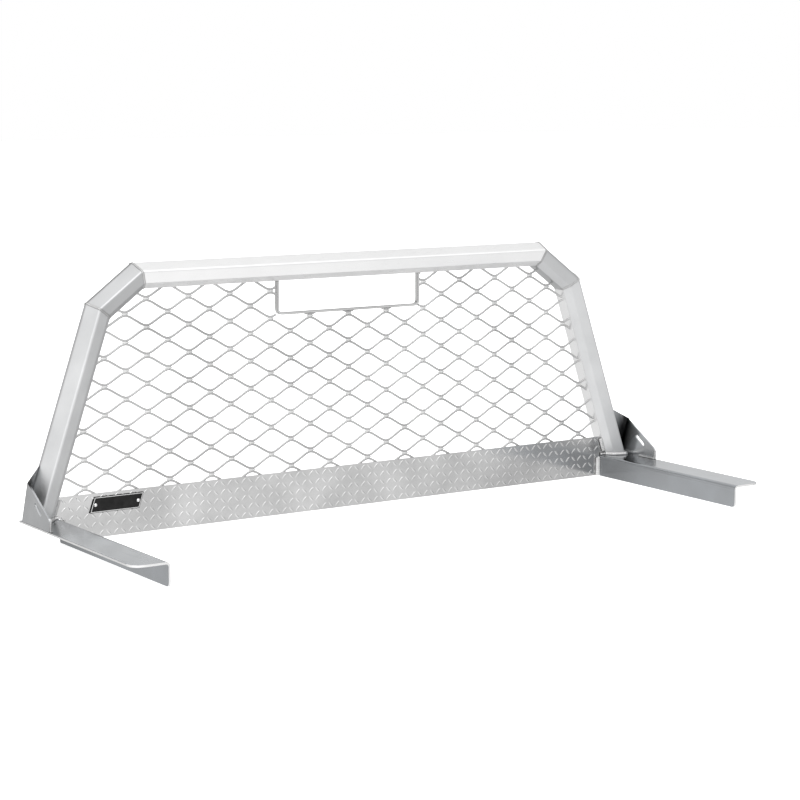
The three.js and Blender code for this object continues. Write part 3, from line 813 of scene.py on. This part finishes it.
def floor_material():
    """A pale diffusing floor, lit a little from below as a product table is."""
    nodes = Nodes("studio_floor")
    colour = nodes.ramp(nodes.noise(1.5, 2), grey(0.93), grey(0.95))
    nodes.link(colour, nodes.shader.inputs["Base Color"])
    nodes.shader.inputs["Roughness"].default_value = 0.8
    nodes.shader.inputs["Emission Color"].default_value = (1, 1, 1, 1)
    nodes.shader.inputs["Emission Strength"].default_value = FLOOR_GLOW
    return nodes.material


def stage_floor():
    geometry = bmesh.new()
    bmesh.ops.create_grid(geometry, x_segments=1, y_segments=1, size=FLOOR_HALF_SIZE)
    mesh = bpy.data.meshes.new("studio_floor")
    geometry.to_mesh(mesh)
    geometry.free()
    floor = bpy.data.objects.new("studio_floor", mesh)
    floor.location.z = cad_box[0].z - FLOOR_CLEARANCE
    mesh.materials.append(floor_material())
    bpy.context.scene.collection.objects.link(floor)
    floor.visible_glossy = False


def area_light(name, place, target, size, power):
    data = bpy.data.lights.new(name, "AREA")
    data.shape = "RECTANGLE"
    data.size = size[0]
    data.size_y = size[1]
    data.energy = power
    lamp = bpy.data.objects.new(name, data)
    lamp.location = place
    aim = Vector(target) - Vector(place)
    lamp.rotation_euler = aim.to_track_quat("-Z", "Y").to_euler()
    lamp.visible_camera = False
    bpy.context.scene.collection.objects.link(lamp)


# The room's brightness in a direction: a level, a pull along each axis, and a lift off the horizon.
SKY_LEVEL = 0.66
SKY_PULL = (-0.24, -0.25, 0.15)
SKY_LIFT = 0.58
# Dark cards, as a photographer sets them to draw out edges: one high behind the object, one overhead.
# Each is an aim, how sharply it fades away from that aim, and how much light it takes.
CARDS = (
    ((-0.256, 0.82, 0.512), 12, 0.65),
    ((0, 0, 1), 13, 1.1),
)
DARKEST_ROOM = 0.05


def studio_sky():
    """A soft white room, seen as plain white but reflected with its own lights and darks."""
    world = bpy.data.worlds.new("studio")
    world.use_nodes = True
    tree = world.node_tree

    def math_node(operation, *values):
        node = tree.nodes.new("ShaderNodeMath")
        node.operation = operation
        for socket, value in zip(node.inputs, values):
            if isinstance(value, bpy.types.NodeSocket):
                tree.links.new(value, socket)
            else:
                socket.default_value = value
        return node.outputs["Value"]

    direction = tree.nodes.new("ShaderNodeTexCoord").outputs["Generated"]

    def along(axis):
        """How far the direction points along an axis."""
        node = tree.nodes.new("ShaderNodeVectorMath")
        node.operation = "DOT_PRODUCT"
        node.inputs[1].default_value = axis
        tree.links.new(direction, node.inputs[0])
        return node.outputs["Value"]

    off_horizon = math_node("ABSOLUTE", along((0, 0, 1)))
    lifted = math_node("MULTIPLY_ADD", off_horizon, SKY_LIFT, SKY_LEVEL)
    room = math_node("ADD", lifted, along(SKY_PULL))
    for aim, sharpness, depth in CARDS:
        facing = math_node("MAXIMUM", along(aim), 0)
        shade = math_node("MULTIPLY", math_node("POWER", facing, sharpness), depth)
        room = math_node("SUBTRACT", room, shade)
    room = math_node("MAXIMUM", room, DARKEST_ROOM)
    seen = tree.nodes.new("ShaderNodeLightPath").outputs["Is Camera Ray"]
    strength = tree.nodes.new("ShaderNodeMix")
    strength.inputs["B"].default_value = 1.0
    tree.links.new(seen, strength.inputs["Factor"])
    tree.links.new(room, strength.inputs["A"])
    tree.links.new(strength.outputs["Result"], tree.nodes["Background"].inputs["Strength"])
    tree.nodes["Background"].inputs["Color"].default_value = (1, 1, 1, 1)
    bpy.context.scene.world = world


SUN_POWER = 0.75
SUN_ANGLE = 70  # degrees; its width in the sky, which makes it soft
# Soft boxes: a name, a place, a width and height, and a power.
SOFT_BOXES = (
    ("left_wall", (-4.2, -0.8, 1.6), (3.5, 2.6), 12),
    ("back_strip", (4.0, 6.2, 1.5), (6, 1.8), 13),
)
LIGHT_TARGET = (0, 0.1, 0.3)


def overhead_sun():
    """A very soft light from above that lifts the floor to white evenly."""
    data = bpy.data.lights.new("overhead", "SUN")
    data.energy = SUN_POWER
    data.angle = math.radians(SUN_ANGLE)
    lamp = bpy.data.objects.new("overhead", data)
    lamp.rotation_euler = (math.radians(12), math.radians(-8), 0)
    bpy.context.scene.collection.objects.link(lamp)


def studio_light():
    overhead_sun()
    for name, place, size, power in SOFT_BOXES:
        area_light(name, place, LIGHT_TARGET, size, power)
    studio_sky()
    bpy.context.scene.view_settings.view_transform = "Standard"


CAMERA_PLACE = (-2.8785, -4.3336, 1.0597)
CAMERA_AZIMUTH = math.radians(33.41)
CAMERA_PITCH = math.radians(8.32)
CAMERA_LENS = 99.28


def camera():
    data = bpy.data.cameras.new("camera")
    data.lens = CAMERA_LENS
    data.sensor_width = 36
    eye = bpy.data.objects.new("camera", data)
    eye.location = CAMERA_PLACE
    eye.rotation_euler = (math.pi / 2 - CAMERA_PITCH, 0, -CAMERA_AZIMUTH)
    bpy.context.scene.collection.objects.link(eye)
    bpy.context.scene.camera = eye


# ---------------------------------------------------------------- assembly

camera()
frame_and_arms()
for side in ("right", "left"):
    for weld in WELDS:
        weld_bead(f"{side}_{weld}")
expanded_metal()
tread_plate()
badge()
stage_floor()
studio_light()
